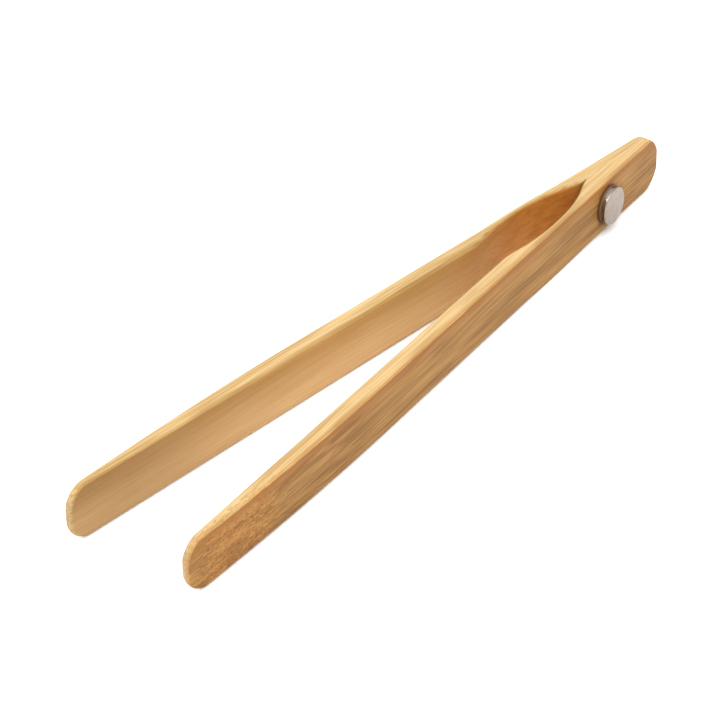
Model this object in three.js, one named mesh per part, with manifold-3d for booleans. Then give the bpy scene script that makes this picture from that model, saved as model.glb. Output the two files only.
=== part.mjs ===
// Spring tongs made of two bamboo strips. The bevelled butts of the strips are glued face to face, so the
// strips splay apart, and each strip is hollowed just past the glue into a thin neck that works as a spring.
// A disc magnet is set into the outer face of the front strip near the head.
//
// Millimetres. The tongs lie on the side edges of the strips: X runs along them, with the glued head at +X,
// Y runs across the gap, with the front strip at -Y, and Z is the width of the strips, from 0 up.
// "Reach" is the distance from the head end, measured along X. Half gaps and half thicknesses are measured
// from the middle plane, Y = 0, and are the same for both strips.
import * as THREE from "three";
import { mergeVertices } from "three/addons/utils/BufferGeometryUtils.js";
import Module from "manifold-3d";

const wasm = await Module();
wasm.setup();

const FRONT = -1;
const BACK = 1;

// Overall sizes.
const LENGTH = 209.6;
const STRIP_WIDTH = 15.2;

// Outer faces: straight from the head end, then bowed in towards the tips on a long arc.
const HEAD_HALF_THICKNESS = 1.75;
const OUTER_SPLAY = THREE.MathUtils.degToRad(5.32);
const BOW_REACH = 128.6;
const BOW_RADIUS = 1010;

// Inner faces: flat on the butts, hollowed along the necks, straight on the blades.
const BUTT_HALF_GAP = 0.15;
const NECK_REACH = 51.2;
const NECK_THICKNESS = 1.25;
const HOLLOW_RADIUS = 61;
const TIP_HALF_GAP = 16.1;
const INNER_SPLAY = THREE.MathUtils.degToRad(4.86);
const HOLLOW_END_BLEND = 1.2;

// Rounding. Corners are rounded as the strip is seen from its broad face, edges across its thickness.
const TIP_CORNER_RADIUS = 5.6;
const FRONT_TIP_LOWER_CORNER_RADIUS = 7.6;
const BACK_TIP_LOWER_CORNER_RADIUS = 6.4;
const HEAD_CORNER_RADIUS = 6.8;
const OUTER_EDGE_ACROSS = 1.3;
const OUTER_EDGE_DOWN = 1.5;
const INNER_EDGE_RADIUS = 1.1;
const EDGE_SHARE = 0.42;
const SEAM_EDGE_RADIUS = 0.15;
const EDGE_RUNOUT_START = 28.6;
const EDGE_RUNOUT_END = 35.6;
const TIP_END_RADIUS = 0.55;
const HEAD_END_RADIUS = 0.9;

// Where each strip is parted into a stiff butt, a neck that bends and a stiff blade.
const NECK_START_REACH = 42.6;
const NECK_END_REACH = 61.6;
const PARTING_GAP = 0.3;

// Glue between the butts.
const SEAM_THICKNESS = 0.2;
const SEAM_INSET = 0.8;

// Magnet in its pocket.
const MAGNET_REACH = 26.6;
const MAGNET_RADIUS = 5;
const MAGNET_THICKNESS = 3;
const MAGNET_CHAMFER = 0.35;
const MAGNET_STAND = 2.15;
const POCKET_CLEARANCE = 0.15;
const MAGNET_BED_THICKNESS = 0.2;
const MAGNET_BED_GAP = 0.05;

// How finely curves are divided.
const EDGE_STEPS = 2;
const CORNER_STEPS = 8;
const RUNOUT_STEPS = 3;
const HOLLOW_STEPS = 14;
const BOW_STEPS = 8;
const ROUND_STEPS = 48;

const bamboo = new THREE.MeshStandardMaterial({ color: 0xd6aa70, roughness: 0.5, metalness: 0 });
const bambooNeck = new THREE.MeshStandardMaterial({ color: 0xc08a4c, roughness: 0.55, metalness: 0 });
const glue = new THREE.MeshStandardMaterial({ color: 0x9c6b34, roughness: 0.35, metalness: 0 });
const nickel = new THREE.MeshStandardMaterial({ color: 0xcfc8bf, roughness: 0.28, metalness: 1 });

const tongs = new THREE.Group();

function addPart(parent, name, geometry, material) {
  const mesh = new THREE.Mesh(geometry, material);
  mesh.name = name;
  parent.add(mesh);
  return mesh;
}

// ---- The strips' faces, as half distances from the middle plane ----

function outerFace(reach) {
  const pastStraight = Math.max(0, reach - BOW_REACH);
  const bow = BOW_RADIUS - Math.sqrt(BOW_RADIUS ** 2 - pastStraight ** 2);
  return HEAD_HALF_THICKNESS + reach * Math.tan(OUTER_SPLAY) - bow;
}

// The hollow is a round cut that leaves the neck thinnest at NECK_REACH, square to the outer face.
const hollowDistance = NECK_THICKNESS + HOLLOW_RADIUS;
const hollowReach = NECK_REACH + hollowDistance * Math.sin(OUTER_SPLAY);
const hollowCentre = outerFace(NECK_REACH) - hollowDistance * Math.cos(OUTER_SPLAY);

function hollowFace(reach) {
  return hollowCentre + Math.sqrt(HOLLOW_RADIUS ** 2 - (reach - hollowReach) ** 2);
}

function bladeFace(reach) {
  return TIP_HALF_GAP - (LENGTH - reach) * Math.tan(INNER_SPLAY);
}

// The reach between low and high where difference(reach) changes sign.
function crossing(difference, low, high) {
  const middle = (low + high) / 2;
  if (high - low < 1e-6) {
    return middle;
  }
  const sameSide = Math.sign(difference(middle)) === Math.sign(difference(low));
  return sameSide ? crossing(difference, middle, high) : crossing(difference, low, middle);
}

const hollowEnd = hollowReach + HOLLOW_RADIUS;
const gapReach = crossing((reach) => hollowFace(reach) - BUTT_HALF_GAP, 0, hollowReach);

// The hollow runs out onto the blade over a soft ridge, rounded wherever the two faces are less than the
// blend apart. Past bladeReach the blade's face is straight.
const bladeReach = crossing(
  (reach) => hollowFace(reach) + HOLLOW_END_BLEND - bladeFace(reach),
  hollowReach,
  hollowEnd,
);

function softRidge(reach) {
  const hollow = hollowFace(reach);
  const blade = bladeFace(reach);
  const blended = Math.max(0, HOLLOW_END_BLEND - Math.abs(hollow - blade));
  return Math.max(hollow, blade) + blended ** 2 / (4 * HOLLOW_END_BLEND);
}

function innerFace(reach) {
  if (reach < gapReach) {
    return BUTT_HALF_GAP;
  }
  if (reach < hollowReach) {
    return hollowFace(reach);
  }
  return reach < bladeReach ? softRidge(reach) : bladeFace(reach);
}

// ---- One strip's cross section at a reach ----

// How far a quarter-round of this radius still draws a face in at a distance from the end it rounds.
function drawnIn(radius, distance) {
  const left = Math.max(0, radius - distance);
  return radius - Math.sqrt(radius ** 2 - left ** 2);
}

// The inner edges are barely broken along the glue, and their rounding grows to its full size at the hollow.
function innerEdgeRadius(reach) {
  const share = THREE.MathUtils.smoothstep(reach, EDGE_RUNOUT_START, EDGE_RUNOUT_END);
  return THREE.MathUtils.lerp(SEAM_EDGE_RADIUS, INNER_EDGE_RADIUS, share);
}

// Edges are rounded across the strip's thickness and down its width, by no more than a share of either. On
// the thin neck and at the ends they are ellipses.
function crossSection(side, reach) {
  const toTip = LENGTH - reach;
  const atTip = drawnIn(TIP_END_RADIUS, toTip);
  const atHead = drawnIn(HEAD_CORNER_RADIUS, reach);
  const lowerCorner = side === FRONT ? FRONT_TIP_LOWER_CORNER_RADIUS : BACK_TIP_LOWER_CORNER_RADIUS;
  const outer = outerFace(reach) - atTip - drawnIn(HEAD_END_RADIUS, reach);
  const inner = innerFace(reach) + atTip;
  const top = STRIP_WIDTH - drawnIn(TIP_CORNER_RADIUS, toTip) - atHead;
  const bottom = drawnIn(lowerCorner, toTip) + atHead;
  const mostAcross = EDGE_SHARE * (outer - inner);
  const mostDown = EDGE_SHARE * (top - bottom);
  const innerRadius = innerEdgeRadius(reach);
  return {
    top,
    bottom,
    outerEdge: {
      face: outer,
      across: Math.min(OUTER_EDGE_ACROSS, mostAcross),
      down: Math.min(OUTER_EDGE_DOWN, mostDown),
    },
    innerEdge: {
      face: inner,
      across: Math.min(innerRadius, mostAcross),
      down: Math.min(innerRadius, mostDown),
    },
  };
}

// The reaches at which a strip's section changes its trend, and enough between them to keep its curves.
function divide(from, to, steps) {
  return Array.from({ length: steps + 1 }, (_, step) => THREE.MathUtils.lerp(from, to, step / steps));
}

function roundedEnd(radius) {
  return divide(0, Math.PI / 2, CORNER_STEPS).map((angle) => radius * (1 - Math.cos(angle)));
}

const bends = [
  HEAD_END_RADIUS,
  ...roundedEnd(HEAD_CORNER_RADIUS),
  ...divide(EDGE_RUNOUT_START, gapReach, RUNOUT_STEPS).slice(0, -1),
  ...divide(gapReach, bladeReach, HOLLOW_STEPS),
  ...divide(BOW_REACH, LENGTH - FRONT_TIP_LOWER_CORNER_RADIUS, BOW_STEPS),
  LENGTH - TIP_END_RADIUS,
  ...roundedEnd(FRONT_TIP_LOWER_CORNER_RADIUS).map((toTip) => LENGTH - toTip),
].sort((a, b) => a - b);

// ---- Strips, lofted through their cross sections ----

// A square with rounded corners: corner centres 1 from the middle both ways, corner radius 1.
function templateSection() {
  const square = new THREE.Shape();
  square.absarc(1, 1, 1, 0, Math.PI / 2);
  square.absarc(-1, 1, 1, Math.PI / 2, Math.PI);
  square.absarc(-1, -1, 1, Math.PI, 1.5 * Math.PI);
  square.absarc(1, -1, 1, 1.5 * Math.PI, 2 * Math.PI);
  return square;
}

// The stretch of a strip between two reaches. The template is extruded in steps, one for each section,
// and each corner of each step is then moved to where the strip's own section has it.
function stripStretch(side, headward, tipward) {
  const between = bends.filter((reach) => reach > headward && reach < tipward);
  const reaches = [headward, ...between, tipward].reverse();
  const steps = reaches.length - 1;
  const options = { depth: 1, steps, curveSegments: EDGE_STEPS, bevelEnabled: false };
  const geometry = new THREE.ExtrudeGeometry(templateSection(), options);
  const sections = reaches.map((reach) => crossSection(side, reach));
  const position = geometry.getAttribute("position");
  for (let index = 0; index < position.count; index += 1) {
    const step = Math.round(position.getZ(index) * steps);
    const section = sections[step];
    const across = position.getX(index);
    const up = position.getY(index);
    const acrossSign = Math.sign(across);
    const upSign = Math.sign(up);
    const edge = acrossSign === side ? section.outerEdge : section.innerEdge;
    position.setXYZ(
      index,
      LENGTH / 2 - reaches[step],
      side * edge.face + edge.across * (across - 2 * acrossSign),
      (up > 0 ? section.top : section.bottom) + edge.down * (up - 2 * upSign),
    );
  }
  return geometry;
}

// ---- Cutting ----

function toSolid(geometry) {
  const bare = geometry.clone();
  bare.deleteAttribute("normal");
  bare.deleteAttribute("uv");
  const merged = mergeVertices(bare);
  return new wasm.Manifold(
    new wasm.Mesh({
      numProp: 3,
      vertProperties: Float32Array.from(merged.getAttribute("position").array),
      triVerts: Uint32Array.from(merged.getIndex().array),
    }),
  );
}

function toGeometry(solid) {
  const mesh = solid.getMesh();
  const geometry = new THREE.BufferGeometry();
  geometry.setAttribute("position", new THREE.BufferAttribute(mesh.vertProperties, 3));
  geometry.setIndex(new THREE.BufferAttribute(mesh.triVerts, 1));
  geometry.computeVertexNormals();
  return geometry;
}

// ---- The magnet's seat: local +Y points out of the front strip's outer face, which is at local Y = 0 ----

const magnetSeat = new THREE.Group();
magnetSeat.position.set(LENGTH / 2 - MAGNET_REACH, FRONT * outerFace(MAGNET_REACH), STRIP_WIDTH / 2);
magnetSeat.rotation.z = Math.PI + OUTER_SPLAY;
magnetSeat.updateMatrix();
tongs.add(magnetSeat);

const magnetBase = MAGNET_STAND - MAGNET_THICKNESS;
const bedTop = magnetBase - MAGNET_BED_GAP;
const pocketFloor = bedTop - MAGNET_BED_THICKNESS - MAGNET_BED_GAP;

// A round piece on the seat's axis, turned from a profile of [radius, height] points that starts and ends
// on the axis and runs up the outside.
function turned(profile) {
  const points = profile.map(([radius, height]) => new THREE.Vector2(radius, height));
  return new THREE.LatheGeometry(points, ROUND_STEPS);
}

function cutMagnetPocket(geometry) {
  const radius = MAGNET_RADIUS + POCKET_CLEARANCE;
  const cutter = turned([
    [0, pocketFloor],
    [radius, pocketFloor],
    [radius, MAGNET_STAND],
    [0, MAGNET_STAND],
  ]);
  cutter.applyMatrix4(magnetSeat.matrix);
  return toGeometry(toSolid(geometry).subtract(toSolid(cutter)));
}

function addMagnet() {
  const rim = MAGNET_RADIUS - MAGNET_CHAMFER;
  const disc = turned([
    [0, magnetBase],
    [rim, magnetBase],
    [MAGNET_RADIUS, magnetBase + MAGNET_CHAMFER],
    [MAGNET_RADIUS, MAGNET_STAND - MAGNET_CHAMFER],
    [rim, MAGNET_STAND],
    [0, MAGNET_STAND],
  ]);
  addPart(magnetSeat, "magnet_disc", disc, nickel);

  const bed = turned([
    [0, bedTop - MAGNET_BED_THICKNESS],
    [MAGNET_RADIUS, bedTop - MAGNET_BED_THICKNESS],
    [MAGNET_RADIUS, bedTop],
    [0, bedTop],
  ]);
  addPart(magnetSeat, "magnet_glue_bed", bed, glue);
}

// ---- The film of glue between the butts: a thin plate with the head's rounded corners ----

function addGlueSeam() {
  const top = STRIP_WIDTH - SEAM_INSET;
  const end = LENGTH / 2 - HEAD_END_RADIUS;
  const corner = HEAD_CORNER_RADIUS - SEAM_INSET;
  const outline = new THREE.Shape();
  outline.moveTo(LENGTH / 2 - gapReach, SEAM_INSET);
  outline.absarc(end - corner, SEAM_INSET + corner, corner, -Math.PI / 2, 0);
  outline.absarc(end - corner, top - corner, corner, 0, Math.PI / 2);
  outline.lineTo(LENGTH / 2 - gapReach, top);
  const options = { depth: SEAM_THICKNESS, curveSegments: CORNER_STEPS, bevelEnabled: false };
  const film = new THREE.ExtrudeGeometry(outline, options);
  film.rotateX(Math.PI / 2);
  film.translate(0, SEAM_THICKNESS / 2, 0);
  addPart(tongs, "butt_glue_seam", film, glue);
}

// ---- Assembly ----

function addStrip(side, name) {
  const halfParting = PARTING_GAP / 2;
  const butt = stripStretch(side, 0, NECK_START_REACH - halfParting);
  const neck = stripStretch(side, NECK_START_REACH + halfParting, NECK_END_REACH - halfParting);
  const blade = stripStretch(side, NECK_END_REACH + halfParting, LENGTH);
  addPart(tongs, `${name}_strip_butt`, side === FRONT ? cutMagnetPocket(butt) : butt, bamboo);
  addPart(tongs, `${name}_strip_neck`, neck, bambooNeck);
  addPart(tongs, `${name}_strip_blade`, blade, bamboo);
}

addStrip(FRONT, "front");
addStrip(BACK, "back");
addGlueSeam();
addMagnet();

export default tongs;
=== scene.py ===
"""Looks of the bamboo print tongs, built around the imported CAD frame.

Everything is in metres, in the row frame: X runs along the tongs towards the glued head, Y across the gap
from the strip with the magnet to the other, and Z up the width of the strips. "Reach" is the distance from
the head end along X. Half gaps and half thicknesses are measured from the middle plane, Y = 0.
"""

import math
from types import SimpleNamespace

import bpy
import numpy as np
from mathutils import Matrix, Vector


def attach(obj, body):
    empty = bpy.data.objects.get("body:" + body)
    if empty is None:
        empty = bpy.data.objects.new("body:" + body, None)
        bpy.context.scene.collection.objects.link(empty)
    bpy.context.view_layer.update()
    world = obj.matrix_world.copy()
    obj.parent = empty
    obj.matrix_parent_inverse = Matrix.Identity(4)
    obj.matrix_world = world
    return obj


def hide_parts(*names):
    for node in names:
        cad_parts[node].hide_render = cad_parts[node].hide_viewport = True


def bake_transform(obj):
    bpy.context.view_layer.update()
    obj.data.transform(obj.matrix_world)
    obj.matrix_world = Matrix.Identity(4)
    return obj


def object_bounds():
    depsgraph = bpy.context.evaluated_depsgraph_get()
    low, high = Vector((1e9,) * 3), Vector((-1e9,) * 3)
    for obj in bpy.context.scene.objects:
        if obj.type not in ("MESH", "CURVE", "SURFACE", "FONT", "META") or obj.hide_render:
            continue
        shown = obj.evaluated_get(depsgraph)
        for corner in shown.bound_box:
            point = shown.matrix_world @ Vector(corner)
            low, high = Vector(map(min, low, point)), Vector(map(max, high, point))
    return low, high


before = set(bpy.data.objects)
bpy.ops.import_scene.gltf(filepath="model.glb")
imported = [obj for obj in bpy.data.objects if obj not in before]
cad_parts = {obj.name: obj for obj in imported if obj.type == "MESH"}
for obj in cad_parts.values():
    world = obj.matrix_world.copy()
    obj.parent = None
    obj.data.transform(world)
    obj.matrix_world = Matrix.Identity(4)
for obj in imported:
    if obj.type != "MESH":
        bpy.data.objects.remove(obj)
cad_low, cad_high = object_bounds()

MM = 0.001
FRONT = -1
BACK = 1

# ---- Sizes: the frame's and the CAD's own, but for a thinner glue line and a few small edges ----

LENGTH = cad_high.x - cad_low.x
STRIP_WIDTH = cad_high.z - cad_low.z
HEAD_X = cad_high.x

HEAD_HALF_THICKNESS = 1.75 * MM
OUTER_SPLAY = math.radians(5.32)
BOW_REACH = 128.6 * MM
BOW_RADIUS = 1010 * MM

SEAM_HALF_GAP = 0.03 * MM
NECK_REACH = 51.2 * MM
NECK_THICKNESS = 1.25 * MM
HOLLOW_RADIUS = 61 * MM
TIP_HALF_GAP = 16.1 * MM
INNER_SPLAY = math.radians(4.86)
HOLLOW_END_BLEND = 1.2 * MM
HOLLOW_START_BLEND = 1.0 * MM

# Corners are rounded as a strip is seen from its broad face, edges across its thickness.
TIP_CORNER_RADIUS = 5.6 * MM
TIP_LOWER_CORNER_RADIUS = {FRONT: 7.6 * MM, BACK: 6.4 * MM}
HEAD_CORNER_RADIUS = 6.8 * MM
OUTER_EDGE_ACROSS = 1.3 * MM
OUTER_EDGE_DOWN = 1.5 * MM
INNER_EDGE_RADIUS = 1.1 * MM
EDGE_SHARE = 0.42
SEAM_EDGE_RADIUS = 0.04 * MM
EDGE_FLATNESS = 0.25
EDGE_STEPS = 8
EDGE_RUNOUT_START = 28.6 * MM
EDGE_RUNOUT_END = 35.6 * MM
TIP_END_RADIUS = 0.6 * MM
HEAD_END_RADIUS = 0.9 * MM

# How much less of the rounding is sanded pale along the bottom, at the head and at the tip's bark side.
BOTTOM_UNSANDED = 1.2 * MM
HEAD_UNSANDED = 1.2 * MM
TIP_UNSANDED = 0.6 * MM

MAGNET_REACH = 26.6 * MM
MAGNET_RADIUS = 5 * MM
MAGNET_THICKNESS = 3 * MM
MAGNET_CHAMFER = 0.3 * MM
MAGNET_STAND = 2.15 * MM
POCKET_CLEARANCE = 0.15 * MM
POCKET_DEPTH = 1.15 * MM
ROUND_SEGMENTS = 128


# ---- Camera, floor and light ----

def aim(obj, target, roll=0.0):
    """Points a camera's or light's -Z at target, with its own X level before the roll."""
    towards = Vector(target) - obj.location
    turn = towards.to_track_quat("-Z", "Y").to_matrix()
    obj.rotation_euler = (turn @ Matrix.Rotation(roll, 3, "Z")).to_euler()


def add_camera():
    azimuth = math.radians(-51.985)
    elevation = math.radians(33.96)
    distance = 0.9222
    target = Vector((-15.1 * MM, 3.1 * MM, STRIP_WIDTH / 2))
    back = Vector((
        math.sin(azimuth) * math.cos(elevation),
        -math.cos(azimuth) * math.cos(elevation),
        math.sin(elevation),
    ))
    data = bpy.data.cameras.new("camera")
    data.sensor_width = 36
    data.lens = 193.5
    data.clip_start = 0.01
    data.clip_end = 20
    camera = bpy.data.objects.new("camera", data)
    bpy.context.scene.collection.objects.link(camera)
    camera.location = target + back * distance
    aim(camera, target, roll=math.radians(-0.889))
    bpy.context.scene.camera = camera


def add_area_light(name, location, size, watts):
    data = bpy.data.lights.new(name, "AREA")
    data.shape = "RECTANGLE"
    data.size, data.size_y = size
    data.energy = watts
    light = bpy.data.objects.new(name, data)
    bpy.context.scene.collection.objects.link(light)
    light.location = location
    aim(light, (0, 0, 0))


def add_floor():
    half = 3.0
    height = -0.02 * MM
    pale = (0.94, 0.94, 0.94, 1)
    mesh = bpy.data.meshes.new("floor")
    corners = [(-half, -half, height), (half, -half, height), (half, half, height), (-half, half, height)]
    mesh.from_pydata(corners, [], [(0, 1, 2, 3)])
    floor = bpy.data.objects.new("floor", mesh)
    bpy.context.scene.collection.objects.link(floor)
    material = bpy.data.materials.new("pale_floor")
    material.use_nodes = True
    shader = material.node_tree.nodes["Principled BSDF"]
    shader.inputs["Base Color"].default_value = pale
    shader.inputs["Roughness"].default_value = 0.9
    mesh.materials.append(material)


def add_studio():
    add_camera()
    add_floor()
    add_area_light("overhead_softbox", location=(-0.15, -0.3, 1.0), size=(1.2, 1.2), watts=9.0)
    add_area_light("left_softbox", location=(-1.1, -0.25, 0.6), size=(0.8, 0.8), watts=1.0)
    add_area_light("rim_light", location=(-0.51, 0.38, 0.69), size=(0.25, 0.25), watts=3.0)
    world = bpy.data.worlds.new("studio")
    bpy.context.scene.world = world
    world.use_nodes = True
    background = world.node_tree.nodes["Background"]
    background.inputs["Color"].default_value = (1, 1, 1, 1)
    background.inputs["Strength"].default_value = 1.4
    bpy.context.scene.view_settings.view_transform = "Standard"


# ---- The strips' faces, as half distances from the middle plane ----

def outer_face(reach):
    past_straight = np.maximum(0, reach - BOW_REACH)
    bow = BOW_RADIUS - np.sqrt(BOW_RADIUS**2 - past_straight**2)
    return HEAD_HALF_THICKNESS + reach * math.tan(OUTER_SPLAY) - bow


magnet_axis = Vector((math.sin(OUTER_SPLAY), -math.cos(OUTER_SPLAY), 0))
magnet_seat = Vector((HEAD_X - MAGNET_REACH, -float(outer_face(MAGNET_REACH)), STRIP_WIDTH / 2))

hollow_distance = NECK_THICKNESS + HOLLOW_RADIUS
hollow_reach = NECK_REACH + hollow_distance * math.sin(OUTER_SPLAY)
hollow_centre = float(outer_face(NECK_REACH)) - hollow_distance * math.cos(OUTER_SPLAY)


def hollow_face(reach):
    return hollow_centre + np.sqrt(np.maximum(0, HOLLOW_RADIUS**2 - (reach - hollow_reach) ** 2))


def blade_face(reach):
    return TIP_HALF_GAP - (LENGTH - reach) * math.tan(INNER_SPLAY)


def crossing(difference, low, high):
    """The reach between low and high where difference(reach) changes sign."""
    close_enough = 1e-7
    while high - low > close_enough:
        middle = (low + high) / 2
        if (difference(middle) > 0) == (difference(low) > 0):
            low = middle
        else:
            high = middle
    return (low + high) / 2


within_blades = hollow_reach + HOLLOW_RADIUS / 2
gap_reach = crossing(lambda reach: hollow_face(reach) - SEAM_HALF_GAP, 0, hollow_reach)
blade_reach = crossing(
    lambda reach: hollow_face(reach) + HOLLOW_END_BLEND - blade_face(reach), hollow_reach, within_blades
)


def soft_maximum(first, second, blend):
    """The larger of two, rounded off where they are closer than the blend."""
    blended = np.maximum(0, blend - np.abs(first - second))
    return np.maximum(first, second) + blended**2 / (4 * blend)


def inner_face(reach):
    """The butts' flat faces, then the hollow, then the blades, each run softly into the next."""
    hollow = hollow_face(reach)
    blade = blade_face(reach)
    before = soft_maximum(SEAM_HALF_GAP, hollow, HOLLOW_START_BLEND)
    past = np.where(reach < blade_reach, soft_maximum(hollow, blade, HOLLOW_END_BLEND), blade)
    return np.where(reach < hollow_reach, before, past)


def drawn_in(radius, distance):
    """How far a quarter-round still draws a face in, at a distance from the end that it rounds."""
    left = np.clip(radius - distance, 0, radius)
    return radius - np.sqrt(radius**2 - left**2)


def smooth_step(value, low, high):
    share = np.clip((value - low) / (high - low), 0, 1)
    return share**2 * (3 - 2 * share)


def section_sizes(side, reaches):
    """The faces and edge roundings of a strip's cross section at each reach.

    Edges are rounded across the strip's thickness and down its width, by no more than a share of either. On
    the thin neck and at the ends they are ellipses.
    """
    to_tip = LENGTH - reaches
    at_tip = drawn_in(TIP_END_RADIUS, to_tip)
    at_head = drawn_in(HEAD_CORNER_RADIUS, reaches)
    outer = outer_face(reaches) - at_tip - drawn_in(HEAD_END_RADIUS, reaches)
    inner = inner_face(reaches) + at_tip
    top = STRIP_WIDTH - drawn_in(TIP_CORNER_RADIUS, to_tip) - at_head
    bottom = drawn_in(TIP_LOWER_CORNER_RADIUS[side], to_tip) + at_head
    most_across = EDGE_SHARE * (outer - inner)
    most_down = EDGE_SHARE * (top - bottom)
    sanded = smooth_step(reaches, EDGE_RUNOUT_START, EDGE_RUNOUT_END)
    inner_radius = SEAM_EDGE_RADIUS + sanded * (INNER_EDGE_RADIUS - SEAM_EDGE_RADIUS)
    return SimpleNamespace(
        outer=outer,
        inner=inner,
        top=top,
        bottom=bottom,
        outer_across=np.minimum(OUTER_EDGE_ACROSS, most_across),
        outer_down=np.minimum(OUTER_EDGE_DOWN, most_down),
        inner_across=np.minimum(inner_radius, most_across),
        inner_down=np.minimum(inner_radius, most_down),
    )


# ---- The strips' mesh ----

def rounded_end(radius, steps):
    """Distances from an end that divide its quarter-round evenly."""
    return radius * (1 - np.cos(np.linspace(0, math.pi / 2, steps + 1)))


def strip_reaches():
    """The reaches of a strip's cross sections, close together where it curves."""
    reaches = np.sort(np.concatenate([
        rounded_end(HEAD_END_RADIUS, steps=8),
        rounded_end(HEAD_CORNER_RADIUS, steps=24),
        np.linspace(HEAD_CORNER_RADIUS, EDGE_RUNOUT_START, num=10),
        np.linspace(EDGE_RUNOUT_START, EDGE_RUNOUT_END, num=22),
        np.linspace(gap_reach, blade_reach, num=50),
        np.linspace(blade_reach, BOW_REACH, num=20),
        np.linspace(BOW_REACH, LENGTH - TIP_CORNER_RADIUS, num=30),
        LENGTH - rounded_end(max(TIP_LOWER_CORNER_RADIUS.values()), steps=28),
        LENGTH - rounded_end(TIP_END_RADIUS, steps=8),
    ]))
    too_close = 0.004 * MM
    return reaches[np.insert(np.diff(reaches) > too_close, 0, True)]


def rounded_edge(across, up, radius_across, radius_up, quarter):
    """An elliptical quarter turn, round a centre at (across, up)."""
    angle = np.linspace(0, math.pi / 2, EDGE_STEPS + 1) + quarter * math.pi / 2
    return np.stack([
        across[:, None] + radius_across[:, None] * np.cos(angle),
        up[:, None] + radius_up[:, None] * np.sin(angle),
    ], axis=-1)


def broken_edge(across, up, radius_across, radius_up, quarter):
    """The same corner sanded off less roundly, so that it meets both faces at a slight crease."""
    share = np.linspace(0, 1, EDGE_STEPS + 1)
    middle = 2 * share * (1 - share) * (1 - EDGE_FLATNESS)
    from_start = (1 - share) ** 2 + middle
    from_end = share**2 + middle
    start_side, end_side = (from_start, from_end) if quarter % 2 == 0 else (from_end, from_start)
    across_sign = 1 if quarter in (0, 3) else -1
    up_sign = 1 if quarter in (0, 1) else -1
    return np.stack([
        across[:, None] + across_sign * radius_across[:, None] * start_side,
        up[:, None] + up_sign * radius_up[:, None] * end_side,
    ], axis=-1)


def cross_sections(side, reaches):
    """Rings of points round each cross section, as an array of (section, point, [across, up]).

    Four rounded corners with straight stretches between them: the top edge, inner face, bottom edge and
    outer face in turn.
    """
    sizes = section_sizes(side, reaches)
    outer_middle = sizes.outer - sizes.outer_across
    inner_middle = sizes.inner + sizes.inner_across
    high = sizes.top - sizes.outer_down
    low = sizes.bottom + sizes.outer_down
    inner_high = sizes.top - sizes.inner_down
    inner_low = sizes.bottom + sizes.inner_down
    arcs = [
        rounded_edge(outer_middle, high, sizes.outer_across, sizes.outer_down, 0),
        broken_edge(inner_middle, inner_high, sizes.inner_across, sizes.inner_down, 1),
        broken_edge(inner_middle, inner_low, sizes.inner_across, sizes.inner_down, 2),
        rounded_edge(outer_middle, low, sizes.outer_across, sizes.outer_down, 3),
    ]
    along_broad_face = np.array([0.02, 0.08, 0.25, 0.5, 0.75, 0.92, 0.98])
    along_narrow_edge = np.array([0.1, 0.5, 0.9])
    after_arc = (along_narrow_edge, along_broad_face) * 2
    stretches = []
    for quarter, share in enumerate(after_arc):
        start = arcs[quarter][:, -1:]
        end = arcs[(quarter + 1) % 4][:, :1]
        stretches += [arcs[quarter], start + (end - start) * share[None, :, None]]
    return np.concatenate(stretches, axis=1)


def skin_faces(sections, points):
    """Quads between neighbouring rings, and a polygon across each end."""
    faces = []
    for section in range(sections - 1):
        here = section * points
        there = here + points
        for point in range(points):
            after = (point + 1) % points
            faces.append((here + point, here + after, there + after, there + point))
    faces.append(tuple(reversed(range(points))))
    last = (sections - 1) * points
    faces.append(tuple(range(last, last + points)))
    return faces


def add_mesh(name, vertices, faces):
    mesh = bpy.data.meshes.new(name)
    mesh.from_pydata([tuple(vertex) for vertex in vertices], [], faces)
    mesh.validate()
    obj = bpy.data.objects.new(name, mesh)
    bpy.context.scene.collection.objects.link(obj)
    return obj


def shade_smooth(obj, sharp_above):
    mesh = obj.data
    mesh.polygons.foreach_set("use_smooth", [True] * len(mesh.polygons))
    mesh.set_sharp_from_angle(angle=sharp_above)
    mesh.update()


def build_strip(name, side):
    reaches = strip_reaches()
    rings = cross_sections(side, reaches)
    sections, points, _ = rings.shape
    x = np.repeat(HEAD_X - reaches, points)
    y = side * rings[:, :, 0].ravel()
    z = rings[:, :, 1].ravel()
    faces = skin_faces(sections, points)
    if side == FRONT:
        faces = [tuple(reversed(face)) for face in faces]
    return add_mesh(name, np.stack([x, y, z], axis=1), faces)


# ---- What the materials need to know about each point of a strip ----

def store(mesh, name, kind, values):
    attribute = mesh.attributes.new(name, kind, "POINT")
    field = "vector" if kind == "FLOAT_VECTOR" else "value"
    attribute.data.foreach_set(field, np.ascontiguousarray(values, dtype=np.float32).ravel())


def in_from_outline(side, reach, z, inside):
    """How far a point of a broad face is in from the strip's outline, with its rounded corners.

    The outline is taken further out where the edges are hardly sanded: along the bottom, at the head end
    and, on the bark side, at the tip.
    """
    tip_unsanded = np.where(inside, 0, TIP_UNSANDED)
    from_head = reach + HEAD_UNSANDED
    from_tip = LENGTH - reach + tip_unsanded
    from_bottom = z + BOTTOM_UNSANDED
    from_top = STRIP_WIDTH - z
    distance = np.minimum(np.minimum(from_head, from_tip), np.minimum(from_bottom, from_top))
    corners = (
        (from_head, from_bottom, HEAD_CORNER_RADIUS + HEAD_UNSANDED),
        (from_head, from_top, HEAD_CORNER_RADIUS),
        (from_tip, from_bottom, TIP_LOWER_CORNER_RADIUS[side] + tip_unsanded),
        (from_tip, from_top, TIP_CORNER_RADIUS + tip_unsanded),
    )
    for from_end, from_edge, radius in corners:
        in_corner = (from_end < radius) & (from_edge < radius)
        rounded = radius - np.hypot(radius - from_end, radius - from_edge)
        distance = np.where(in_corner, rounded, distance)
    return distance


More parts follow.
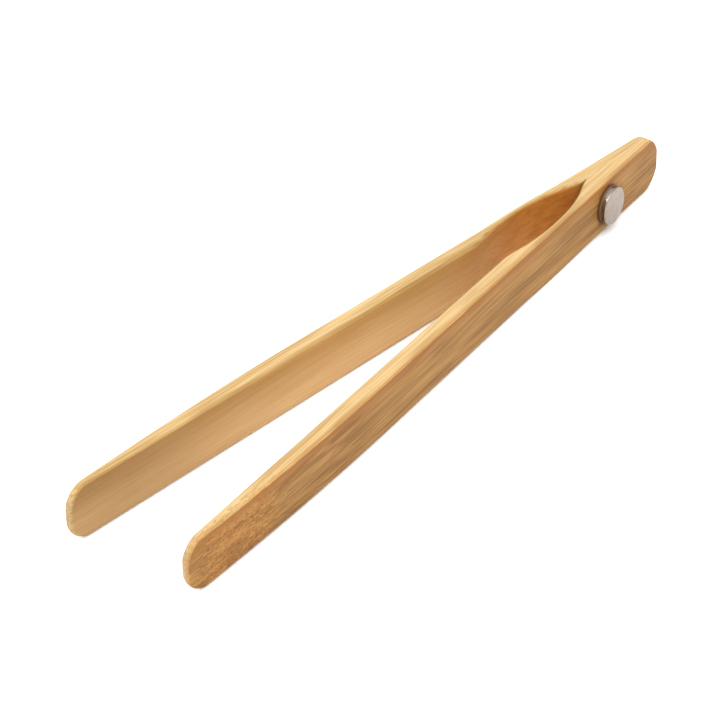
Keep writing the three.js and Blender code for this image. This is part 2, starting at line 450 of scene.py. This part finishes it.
def sanded_share(side, reach, z, inside):
    """1 at the outline, or less where it is hardly sanded, falling below 0 in from the edges' rounding."""
    far_from_edge = -2
    edge_down = np.where(inside, INNER_EDGE_RADIUS, OUTER_EDGE_DOWN)
    return np.maximum(far_from_edge, 1 - in_from_outline(side, reach, z, inside) / edge_down)


def hollow_shade_share(reach):
    """Where shade is painted in the hollow: 1 where the spring hollow starts, fading out along it and a
    little way onto the blade.
    """
    full_from = gap_reach + 4 * MM
    full_to = gap_reach + 12 * MM
    faded_at = blade_reach + 14 * MM
    appears = smooth_step(reach, gap_reach - 3 * MM, full_from)
    fades = smooth_step(reach, full_to, faded_at)
    return appears * (1 - fades)


def open_share(reach):
    """0 as far as the jaw, rising to 1 at the tip."""
    jaw_reach = blade_reach + 45 * MM
    return smooth_step(reach, jaw_reach, LENGTH)


def end_grain_share(reach):
    """1 at the tip's end, fading out a little way along the strip."""
    full_to = 0.3 * MM
    faded_at = 2.5 * MM
    return 1 - smooth_step(LENGTH - reach, full_to, faded_at)


def magnet_shadow_share(x, z):
    """1 at the rim of the magnet's pocket and 0 a little way off: the magnet's contact shadow, painted onto
    the wood.
    """
    shadow_free_distance = 0.6 * MM
    from_magnet = np.hypot(x - magnet_seat.x, z - magnet_seat.z) - MAGNET_RADIUS
    return 1 - smooth_step(from_magnet, POCKET_CLEARANCE, shadow_free_distance)


def joint_share(reach, inside, joint_reach):
    """1 at the joint of the bamboo stalk on the bark side, fading out along it, and faint inside."""
    half_length = 13 * MM
    through_pith = 0.1
    return np.exp(-((reach - joint_reach) / half_length) ** 2) * np.where(inside, through_pith, 1)


def mark_wood(strip, side, grain_offset, joint_reach):
    """Stores where each point lies in the bamboo, what has been done to the surface there, and where shade
    is painted on it.

    grain is the place along the fibres, in from the bark face and up the width. inside is 1 on the half of
    the thickness that faces the other strip, and height is 0 at the bottom and 1 at the top.
    """
    mesh = strip.data
    place = np.empty(3 * len(mesh.vertices), dtype=np.float32)
    mesh.vertices.foreach_get("co", place)
    x, y, z = place.reshape(-1, 3).astype(float).T
    reach = np.clip(HEAD_X - x, 0, LENGTH)
    across = side * y
    sizes = section_sizes(side, reach)
    inside = across < (sizes.outer + sizes.inner) / 2

    along_grain = reach * math.cos(OUTER_SPLAY) + across * math.sin(OUTER_SPLAY)
    depth = (HEAD_HALF_THICKNESS + reach * math.tan(OUTER_SPLAY) - across) * math.cos(OUTER_SPLAY)
    grain = np.stack([along_grain, depth, z], axis=1) + np.array(grain_offset)

    store(mesh, "grain", "FLOAT_VECTOR", grain)
    store(mesh, "sanded", "FLOAT", sanded_share(side, reach, z, inside))
    store(mesh, "inside", "FLOAT", inside)
    store(mesh, "height", "FLOAT", z / STRIP_WIDTH)
    # Painted shade and bounced light in the spring hollow, on the inner faces only.
    store(mesh, "hollow_shade", "FLOAT", inside * hollow_shade_share(reach))
    store(mesh, "open", "FLOAT", open_share(reach))
    store(mesh, "end_grain", "FLOAT", end_grain_share(reach))
    store(mesh, "joint", "FLOAT", joint_share(reach, inside, joint_reach))
    # Painted contact shadow round the magnet, on the front strip's outer face only.
    store(mesh, "magnet_shadow", "FLOAT", magnet_shadow_share(x, z) * ((side == FRONT) & ~inside))


# ---- Round pieces and the glue ----

def turned(name, profile):
    """A round piece on the magnet's axis, from [radius, height above the wood] points up its outside."""
    upright = Vector((0, 0, 1))
    sideways = magnet_axis.cross(upright)
    vertices = []
    for radius, height in profile:
        for turn in range(ROUND_SEGMENTS):
            angle = 2 * math.pi * turn / ROUND_SEGMENTS
            spoke = math.cos(angle) * sideways + math.sin(angle) * upright
            vertices.append(magnet_seat + magnet_axis * height + spoke * radius)
    return add_mesh(name, vertices, skin_faces(len(profile), ROUND_SEGMENTS))


def rounded_corner(radius, height, size, upward):
    """Points round a small convex corner of a profile, whose sharp corner would be at radius, height."""
    steps = 5
    first_angle = 0 if upward else -math.pi / 2
    middle_radius = radius - size
    middle_height = height - size if upward else height + size
    points = []
    for step in range(steps + 1):
        angle = first_angle + math.pi / 2 * step / steps
        points.append((middle_radius + size * math.cos(angle), middle_height + size * math.sin(angle)))
    return points


def cut_pocket(strip):
    """Cuts the magnet's pocket out of the strip, and puts the cut mesh in place of the strip's own."""
    radius = MAGNET_RADIUS + POCKET_CLEARANCE
    cutter = turned("pocket_cutter", [(radius, -POCKET_DEPTH), (radius, MAGNET_STAND)])
    boolean = strip.modifiers.new("pocket", "BOOLEAN")
    boolean.operation = "DIFFERENCE"
    boolean.solver = "EXACT"
    boolean.object = cutter
    bpy.context.view_layer.update()
    cut = bpy.data.meshes.new_from_object(strip.evaluated_get(bpy.context.evaluated_depsgraph_get()))
    strip.modifiers.clear()
    strip.data = cut
    bpy.data.objects.remove(cutter)


def build_magnet():
    """The disc, with rings up its rim to carry the "foot" attribute: 1 in the glue, still high where the
    wood's reflection is painted on the lower rim, and 0 well above it.
    """
    base = MAGNET_STAND - MAGNET_THICKNESS
    rim = np.linspace(base + MAGNET_CHAMFER, MAGNET_STAND - MAGNET_CHAMFER, num=14)[1:-1]
    profile = rounded_corner(MAGNET_RADIUS, base, MAGNET_CHAMFER, upward=False)
    profile += [(MAGNET_RADIUS, height) for height in rim]
    profile += rounded_corner(MAGNET_RADIUS, MAGNET_STAND, MAGNET_CHAMFER, upward=True)
    magnet = turned("magnet", profile)
    brown_below = 0.1 * MM
    plain_nickel_above = 1.3 * MM
    heights = np.array([(vertex.co - magnet_seat).dot(magnet_axis) for vertex in magnet.data.vertices])
    store(magnet.data, "foot", "FLOAT", 1 - smooth_step(heights, brown_below, plain_nickel_above))
    shade_smooth(magnet, sharp_above=math.radians(50))
    return magnet


def build_magnet_glue():
    """Glue that beds the magnet and wells up round it, a little unevenly, inside the pocket."""
    clearance = 0.01 * MM
    bed_top = MAGNET_STAND - MAGNET_THICKNESS - clearance
    outside = MAGNET_RADIUS + POCKET_CLEARANCE - clearance
    inside = MAGNET_RADIUS + clearance
    well_top = -0.25 * MM
    well_rings = (1, 2, 3)
    sag = 0.04 * MM
    swell_size = 0.04 * MM
    profile = [
        (outside, clearance - POCKET_DEPTH),
        (outside, well_top),
        ((outside + inside) / 2, well_top - sag),
        (inside, well_top),
        (inside, bed_top),
    ]
    bed = turned("shaded_magnet_glue", profile)
    for index, vertex in enumerate(bed.data.vertices):
        ring, turn = divmod(index, ROUND_SEGMENTS)
        if ring in well_rings:
            angle = 2 * math.pi * turn / ROUND_SEGMENTS
            swell = math.sin(3 * angle + 1) + 0.6 * math.sin(7 * angle) + 0.4 * math.sin(13 * angle + 2)
            vertex.co += magnet_axis * swell * swell_size
    shade_smooth(bed, sharp_above=math.radians(50))
    return bed


def build_seam():
    """The glue line between the butts, ending in a hollow meniscus where the strips part."""
    meniscus = 0.5 * MM
    meniscus_depth = 0.9 * meniscus
    inset = 0.03 * MM
    widest_half_film = 0.05 * MM
    within_butts = EDGE_RUNOUT_START - 5 * MM
    glue_reach = crossing(lambda reach: inner_face(reach) - widest_half_film, within_butts, hollow_reach)
    reaches = np.concatenate([
        rounded_end(HEAD_CORNER_RADIUS, steps=24),
        np.linspace(HEAD_CORNER_RADIUS, glue_reach, num=12)[1:],
        glue_reach + np.linspace(0, meniscus, num=5)[1:],
    ])
    sizes = section_sizes(FRONT, reaches)
    shares = np.linspace(-1, 1, num=7)
    vertices = []
    for reach, half_film, top, bottom in zip(reaches, sizes.inner, sizes.top - inset, sizes.bottom + inset):
        meniscus_share = max(0, reach - glue_reach) / meniscus
        for z, order in ((top, shares), (bottom, shares[::-1])):
            for share in order:
                pulled_back = meniscus_depth * meniscus_share * (1 - share**2)
                x = HEAD_X - max(reach, inset) + pulled_back
                vertices.append((x, half_film * share, z))
    seam = add_mesh("glue_seam", vertices, skin_faces(len(reaches), 2 * len(shares)))
    shade_smooth(seam, sharp_above=math.radians(40))
    return seam


# ---- Materials ----

class Surface:
    """One material's node tree, with a short call for each kind of node that the materials are made of."""

    def __init__(self, name):
        self.material = bpy.data.materials.new(name)
        self.material.use_nodes = True
        self.tree = self.material.node_tree
        self.shader = self.tree.nodes["Principled BSDF"]

    def add(self, kind, inputs, **settings):
        node = self.tree.nodes.new(kind)
        for key, value in settings.items():
            setattr(node, key, value)
        for key, value in inputs.items():
            self.feed(node.inputs[key], value)
        return node

    def feed(self, socket, value):
        if isinstance(value, bpy.types.NodeSocket):
            self.tree.links.new(value, socket)
        else:
            socket.default_value = value

    def set(self, **inputs):
        for key, value in inputs.items():
            self.feed(self.shader.inputs[key.replace("_", " ")], value)

    def attribute(self, name, output="Fac"):
        return self.add("ShaderNodeAttribute", {}, attribute_name=name).outputs[output]

    def object_place(self):
        return self.add("ShaderNodeTexCoord", {}).outputs["Object"]

    def stretched(self, place, sizes):
        """The place counted in lengths of the given sizes along its three directions."""
        return self.vector_math("MULTIPLY", place, [1 / size for size in sizes])

    def noise(self, place, detail, roughness=0.5, output="Fac"):
        inputs = {"Vector": place, "Scale": 1.0, "Detail": detail, "Roughness": roughness}
        return self.add("ShaderNodeTexNoise", inputs).outputs[output]

    def cells(self, place):
        """Distance from the middle of the cell that a place is in, and the cell's own random number."""
        node = self.add("ShaderNodeTexVoronoi", {"Vector": place, "Scale": 1.0, "Randomness": 1.0})
        split = self.add("ShaderNodeSeparateColor", {"Color": node.outputs["Color"]})
        return node.outputs["Distance"], split.outputs[0]

    def ranged(self, value, low, high, to_low=0.0, to_high=1.0):
        inputs = {"Value": value, "From Min": low, "From Max": high, "To Min": to_low, "To Max": to_high}
        return self.add("ShaderNodeMapRange", inputs, interpolation_type="SMOOTHSTEP").outputs["Result"]

    def math(self, operation, first, second):
        return self.add("ShaderNodeMath", {0: first, 1: second}, operation=operation).outputs[0]

    def vector_math(self, operation, first, second):
        return self.add("ShaderNodeVectorMath", {0: first, 1: second}, operation=operation).outputs[0]

    def weighted(self, *terms):
        """The sum of pairs of a value and its weight."""
        total = 0.0
        for value, weight in terms:
            inputs = {0: value, 1: weight, 2: total}
            total = self.add("ShaderNodeMath", inputs, operation="MULTIPLY_ADD").outputs[0]
        return total

    def mix(self, share, first, second, blend="MIX"):
        colours = [(*colour, 1) if isinstance(colour, tuple) else colour for colour in (first, second)]
        inputs = {0: share, 6: colours[0], 7: colours[1]}
        return self.add("ShaderNodeMix", inputs, data_type="RGBA", blend_type=blend).outputs[2]

    def bump(self, height, distance, strength):
        inputs = {"Height": height, "Distance": distance, "Strength": strength}
        return self.add("ShaderNodeBump", inputs).outputs["Normal"]


# Colours are linear. A pair holds a colour's darker and lighter ends, and a tint multiplies what it is on.

BARK_SIDE = ((0.165, 0.071, 0.0110), (0.286, 0.141, 0.0295))
AMBER = (0.226, 0.086, 0.0090)
BARK_UPPER_TINT = (0.97, 0.900, 0.700)
PALE_HAIR = (0.365, 0.204, 0.060)
PITH_SIDE = ((0.478, 0.287, 0.118), (0.580, 0.373, 0.167))
PITH_UPPER_TINT = (0.72, 0.630, 0.430)
# The next two tints are painted shade and bounced orange light in the spring hollow, deepened in blotches.
HOLLOW_SHADE_TINT = (1.02, 0.735, 0.385)
HOLLOW_BLOTCH_TINT = (0.86, 0.760, 0.640)
OPEN_TINT = (0.595, 0.545, 0.460)
SANDED = ((0.320, 0.196, 0.070), (0.466, 0.321, 0.145))
ROUNDED_TINT = (0.97, 0.810, 0.610)
INNER_ROUNDED_TINT = (0.86, 0.800, 0.620)
END_GRAIN_TINT = (0.84, 0.850, 0.980)
FIBRE_TINT = (0.74, 0.600, 0.460)
JOINT_TINT = (1.20, 1.150, 0.980)
PEBBLE_TINT = (0.80, 0.660, 0.460)
# Darkens the wood round the magnet's foot: a painted contact shadow.
MAGNET_SHADOW_TINT = (0.50, 0.320, 0.180)

# Sizes of the wood's markings: along the grain, in from the bark and up the width.

STREAKS = (40 * MM, 0.6 * MM, 0.6 * MM)
HAIRS = (26 * MM, 0.42 * MM, 0.42 * MM)
PALE_HAIRS = (24 * MM, 0.36 * MM, 0.36 * MM)
CLOUDS = (28 * MM, 4 * MM, 4.5 * MM)
BUNDLES = (60 * MM, 0.6 * MM, 0.6 * MM)
WAVES = (30 * MM, 10 * MM, 10 * MM)
TANGLES = (2.2 * MM, 1.1 * MM, 1.1 * MM)
FLECKS = (1.3 * MM, 0.7 * MM, 0.7 * MM)
PEBBLES = (0.8 * MM, 0.5 * MM, 0.5 * MM)
BLOTCHES = (4.5 * MM, 1.4 * MM, 1.8 * MM)
SANDING_WAVES = (7 * MM, 3 * MM, 3 * MM)


def tinted(wood, share, colour, tint):
    """The colour multiplied by a tint, by the given share."""
    return wood.mix(share, colour, wood.mix(1.0, colour, tint, "MULTIPLY"))


def bamboo_material():
    """Bamboo: dense and brown on the bark side, pale on the inner side, and plainer where it is sanded."""
    wood = Surface("bamboo")
    joint = wood.attribute("joint")
    inside = wood.ranged(wood.attribute("inside"), 0.45, 0.55)
    grain = wander(wood, wood.attribute("grain", "Vector"), joint)
    sanded = uneven(wood, wood.attribute("sanded"), grain)
    tone = fibre_tone(wood, grain)
    flecks, pebbles = joint_marks(wood, grain, joint)

    bark = bark_colour(wood, grain, tone, joint, pebbles)
    pith = pith_colour(wood, grain, tone)
    colour = tinted(wood, flecks, wood.mix(inside, bark, pith), FIBRE_TINT)
    colour = wood.mix(amber_share(wood, sanded, inside), colour, AMBER)
    colour = wood.mix(wood.ranged(sanded, 0.25, 0.45), colour, edge_colour(wood, tone, sanded, inside))
    colour = tinted(wood, fibre_bundles(wood, grain), colour, FIBRE_TINT)
    # Painted contact shadow of the magnet on the wood round its pocket.
    colour = tinted(wood, wood.attribute("magnet_shadow"), colour, MAGNET_SHADOW_TINT)

    wood.set(Base_Color=colour, Roughness=wood.ranged(tone, 0.0, 1.0, 0.66, 0.52), IOR=1.34)
    relief = wood.math("SUBTRACT", tone, wood.math("MULTIPLY", flecks, 0.5))
    wood.set(Normal=wood.bump(relief, 0.05 * MM, 0.4))
    return wood.material


def wander(wood, grain, joint):
    """The grain, gently waved along its length and tangled at the stalk's joint."""
    middle = (0.5, 0.5, 0.5)
    wave_size = (0, 0.9 * MM, 0.9 * MM)
    tangle_size = (0, 1.8 * MM, 1.8 * MM)
    wave = wood.noise(wood.stretched(grain, WAVES), 1, output="Color")
    tangle = wood.noise(wood.stretched(grain, TANGLES), 1, output="Color")
    waved = wood.vector_math("MULTIPLY", wood.vector_math("SUBTRACT", wave, middle), wave_size)
    tangled = wood.vector_math("MULTIPLY", wood.vector_math("SUBTRACT", tangle, middle), tangle_size)
    tangled_at_joint = wood.vector_math("MULTIPLY", tangled, joint)
    return wood.vector_math("ADD", grain, wood.vector_math("ADD", waved, tangled_at_joint))


def uneven(wood, sanded, grain):
    """The sanding, reaching a little further over the edges at some places than at others."""
    reached = wood.noise(wood.stretched(grain, SANDING_WAVES), 2)
    return wood.math("ADD", sanded, wood.ranged(reached, 0.3, 0.7, -0.05, 0.05))


def fibre_tone(wood, grain):
    """How pale the wood is from fibre to fibre, from 0 to 1."""
    streaks = wood.ranged(wood.noise(wood.stretched(grain, STREAKS), 3, 0.65), 0.30, 0.70)
    hairs = wood.ranged(wood.noise(wood.stretched(grain, HAIRS), 1), 0.30, 0.70)
    clouds = wood.ranged(wood.noise(wood.stretched(grain, CLOUDS), 2), 0.30, 0.70)
    return wood.weighted((streaks, 0.26), (hairs, 0.42), (clouds, 0.32))


def joint_marks(wood, grain, joint):
    """The joint of the stalk: small dark flecks, and a pebbled mottle among them."""
    distance, chance = wood.cells(wood.stretched(grain, FLECKS))
    dots = wood.math("MULTIPLY", wood.ranged(distance, 0.60, 0.25), wood.ranged(chance, 0.4, 0.9))
    flecks = wood.math("MULTIPLY", dots, wood.ranged(joint, 0.05, 0.7, 0.0, 0.6))
    mottle = wood.noise(wood.stretched(grain, PEBBLES), 2, 0.6)
    pebbles = wood.math("MULTIPLY", wood.ranged(mottle, 0.42, 0.62), wood.ranged(joint, 0.0, 0.6, 0.0, 0.9))
    return flecks, pebbles


def fibre_bundles(wood, grain):
    """Dark fibre bundles: long thin lines along the grain."""
    distance, chance = wood.cells(wood.stretched(grain, BUNDLES))
    cores = wood.ranged(distance, 0.32, 0.12)
    return wood.math("MULTIPLY", cores, wood.ranged(chance, 0.3, 0.9, 0.0, 0.32))


def bark_colour(wood, grain, tone, joint, pebbles):
    """The brown outer face, with pale hairs that are fainter at the joint."""
    lines = wood.noise(wood.stretched(grain, PALE_HAIRS), 1)
    away_from_joint = wood.ranged(joint, 0.0, 0.8, 1.0, 0.35)
    pale = wood.math("MULTIPLY", wood.ranged(lines, 0.54, 0.70, 0.0, 0.40), away_from_joint)
    bark = wood.mix(wood.ranged(tone, 0.18, 0.82), *BARK_SIDE)
    bark = wood.mix(pale, bark, PALE_HAIR)
    bark = tinted(wood, wood.ranged(wood.attribute("height"), 0.45, 1.0), bark, BARK_UPPER_TINT)
    bark = tinted(wood, wood.ranged(joint, 0.0, 0.8), bark, JOINT_TINT)
    return tinted(wood, pebbles, bark, PEBBLE_TINT)


def pith_colour(wood, grain, tone):
    """The pale inner face: darker, more saturated orange in the hollow as painted shade and bounced light,
    and browner under the top edge and towards the tip.
    """
    hollow_shade = wood.attribute("hollow_shade")
    blotches = wood.noise(wood.stretched(grain, BLOTCHES), 3, 0.6)
    # Painted shade in the hollow, deepened in blotches.
    blotchy_hollow_shade = wood.math("MULTIPLY", hollow_shade, wood.ranged(blotches, 0.40, 0.64, 0.0, 0.9))
    pith = wood.mix(tone, *PITH_SIDE)
    pith = tinted(wood, hollow_shade, pith, HOLLOW_SHADE_TINT)
    pith = tinted(wood, blotchy_hollow_shade, pith, HOLLOW_BLOTCH_TINT)
    pith = tinted(wood, wood.ranged(wood.attribute("height"), 0.25, 1.0), pith, PITH_UPPER_TINT)
    return tinted(wood, wood.attribute("open"), pith, OPEN_TINT)


def edge_colour(wood, tone, sanded, inside):
    """Wood sanded across its fibres, on the edges: warmer on their rounding, greyer at the tip's end."""
    rounded_tint = wood.mix(inside, ROUNDED_TINT, INNER_ROUNDED_TINT)
    edges = wood.mix(wood.ranged(tone, 0.1, 0.9), *SANDED)
    edges = tinted(wood, wood.ranged(sanded, 0.95, 0.5), edges, rounded_tint)
    return tinted(wood, wood.attribute("end_grain"), edges, END_GRAIN_TINT)


def amber_share(wood, sanded, inside):
    """How much amber there is in the upper bark, most of it where the top edge's rounding starts."""
    upper = wood.ranged(wood.attribute("height"), 0.4, 0.8)
    upper_bark = wood.math("MULTIPLY", upper, wood.math("SUBTRACT", 1.0, inside))
    return wood.math("MULTIPLY", upper_bark, wood.ranged(sanded, -1.7, 0.25, 0.0, 0.95))


SEAM_GLUE = ((0.34, 0.200, 0.080), (0.44, 0.290, 0.135))
# The magnet's glue is near black: its brown darkened as painted shade in the narrow gap round the magnet.
SHADED_MAGNET_GLUE = ((0.045, 0.019, 0.007), (0.110, 0.050, 0.018))


def glue_material(name, colours):
    """Set glue: slightly glossy and lumpy, and of a colour between the two given."""
    glue = Surface(name)
    lump_size = 1.2 * MM
    lumps = glue.noise(glue.stretched(glue.object_place(), [lump_size] * 3), 2)
    glue.set(Base_Color=glue.mix(lumps, *colours), Roughness=glue.ranged(lumps, 0.3, 0.7, 0.35, 0.55))
    glue.set(Normal=glue.bump(lumps, 0.05 * MM, 0.5))
    return glue.material


NICKEL = ((0.242, 0.198, 0.166), (0.318, 0.268, 0.230))
SMUDGED = (0.200, 0.158, 0.128)
# A painted reflection of the wood on the magnet's lower rim, and the glue's brown at its very foot.
REFLECTED_WOOD_BROWN = (0.085, 0.036, 0.010)


def nickel_material():
    """Nickel plate: brushed upright, faintly smudged, and matte brown towards its foot, where it sits in
    the glue and, above that, a reflection of the wood is painted on.
    """
    nickel = Surface("nickel_plate")
    place = nickel.object_place()
    foot = nickel.attribute("foot")
    brush_lines = (0.07 * MM, 0.07 * MM, 6 * MM)
    brushed = nickel.noise(nickel.stretched(place, brush_lines), 3, 0.6)
    smudge_size = 2.2 * MM
    smudges = nickel.noise(nickel.stretched(place, [smudge_size] * 3), 2)

    colour = nickel.mix(nickel.ranged(brushed, 0.3, 0.7), *NICKEL)
    colour = nickel.mix(nickel.ranged(smudges, 0.40, 0.75, 0.0, 0.6), colour, SMUDGED)
    # Painted reflection of the wood: the rim turns matte brown towards its foot.
    colour = nickel.mix(foot, colour, REFLECTED_WOOD_BROWN)
    brushed_roughness = nickel.ranged(brushed, 0.3, 0.7, 0.11, 0.19)
    smudge_roughness = nickel.ranged(smudges, 0.35, 0.7, 0.0, 0.08)
    foot_roughness = nickel.ranged(foot, 0.0, 1.0, 0.0, 0.4)
    plate_roughness = nickel.math("ADD", brushed_roughness, smudge_roughness)

    nickel.set(Base_Color=colour, Roughness=nickel.math("ADD", plate_roughness, foot_roughness))
    nickel.set(Metallic=nickel.ranged(foot, 0.0, 1.0, 1.0, 0.0))
    nickel.set(Specular_IOR_Level=nickel.ranged(foot, 0.0, 1.0, 0.5, 0.12))
    nickel.set(Normal=nickel.bump(brushed, 0.006 * MM, 0.4))
    return nickel.material


# ---- Assembly ----

add_studio()
bamboo = bamboo_material()
# The glue round the magnet, darkened as painted shade of its gap.
shaded_magnet_glue = glue_material("shaded_magnet_glue", SHADED_MAGNET_GLUE)
seam_glue = glue_material("seam_glue", SEAM_GLUE)
nickel = nickel_material()

# Each strip's name and side, the place in the stalk that its grain comes from, and its joint's reach.
strips = (
    ("front", FRONT, (0, 0, 0), 192 * MM),
    ("back", BACK, (0.4, 0.05, 0.02), 201 * MM),
)
for name, side, grain_offset, joint_reach in strips:
    strip = build_strip(f"{name}_strip", side)
    if side == FRONT:
        cut_pocket(strip)
    mark_wood(strip, side, grain_offset, joint_reach)
    shade_smooth(strip, sharp_above=math.radians(14))
    strip.data.materials.clear()
    strip.data.materials.append(bamboo)
    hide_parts(f"{name}_strip_butt", f"{name}_strip_neck", f"{name}_strip_blade")
    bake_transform(strip)

small_pieces = (
    (build_magnet(), "magnet_disc", nickel, "nickel_plate"),
    (build_magnet_glue(), "magnet_glue_bed", shaded_magnet_glue, "wood_glue"),
    (build_seam(), "butt_glue_seam", seam_glue, "wood_glue"),
)
for piece, node, material, slot in small_pieces:
    piece.data.materials.append(material)
    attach(piece, "head")
    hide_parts(node)
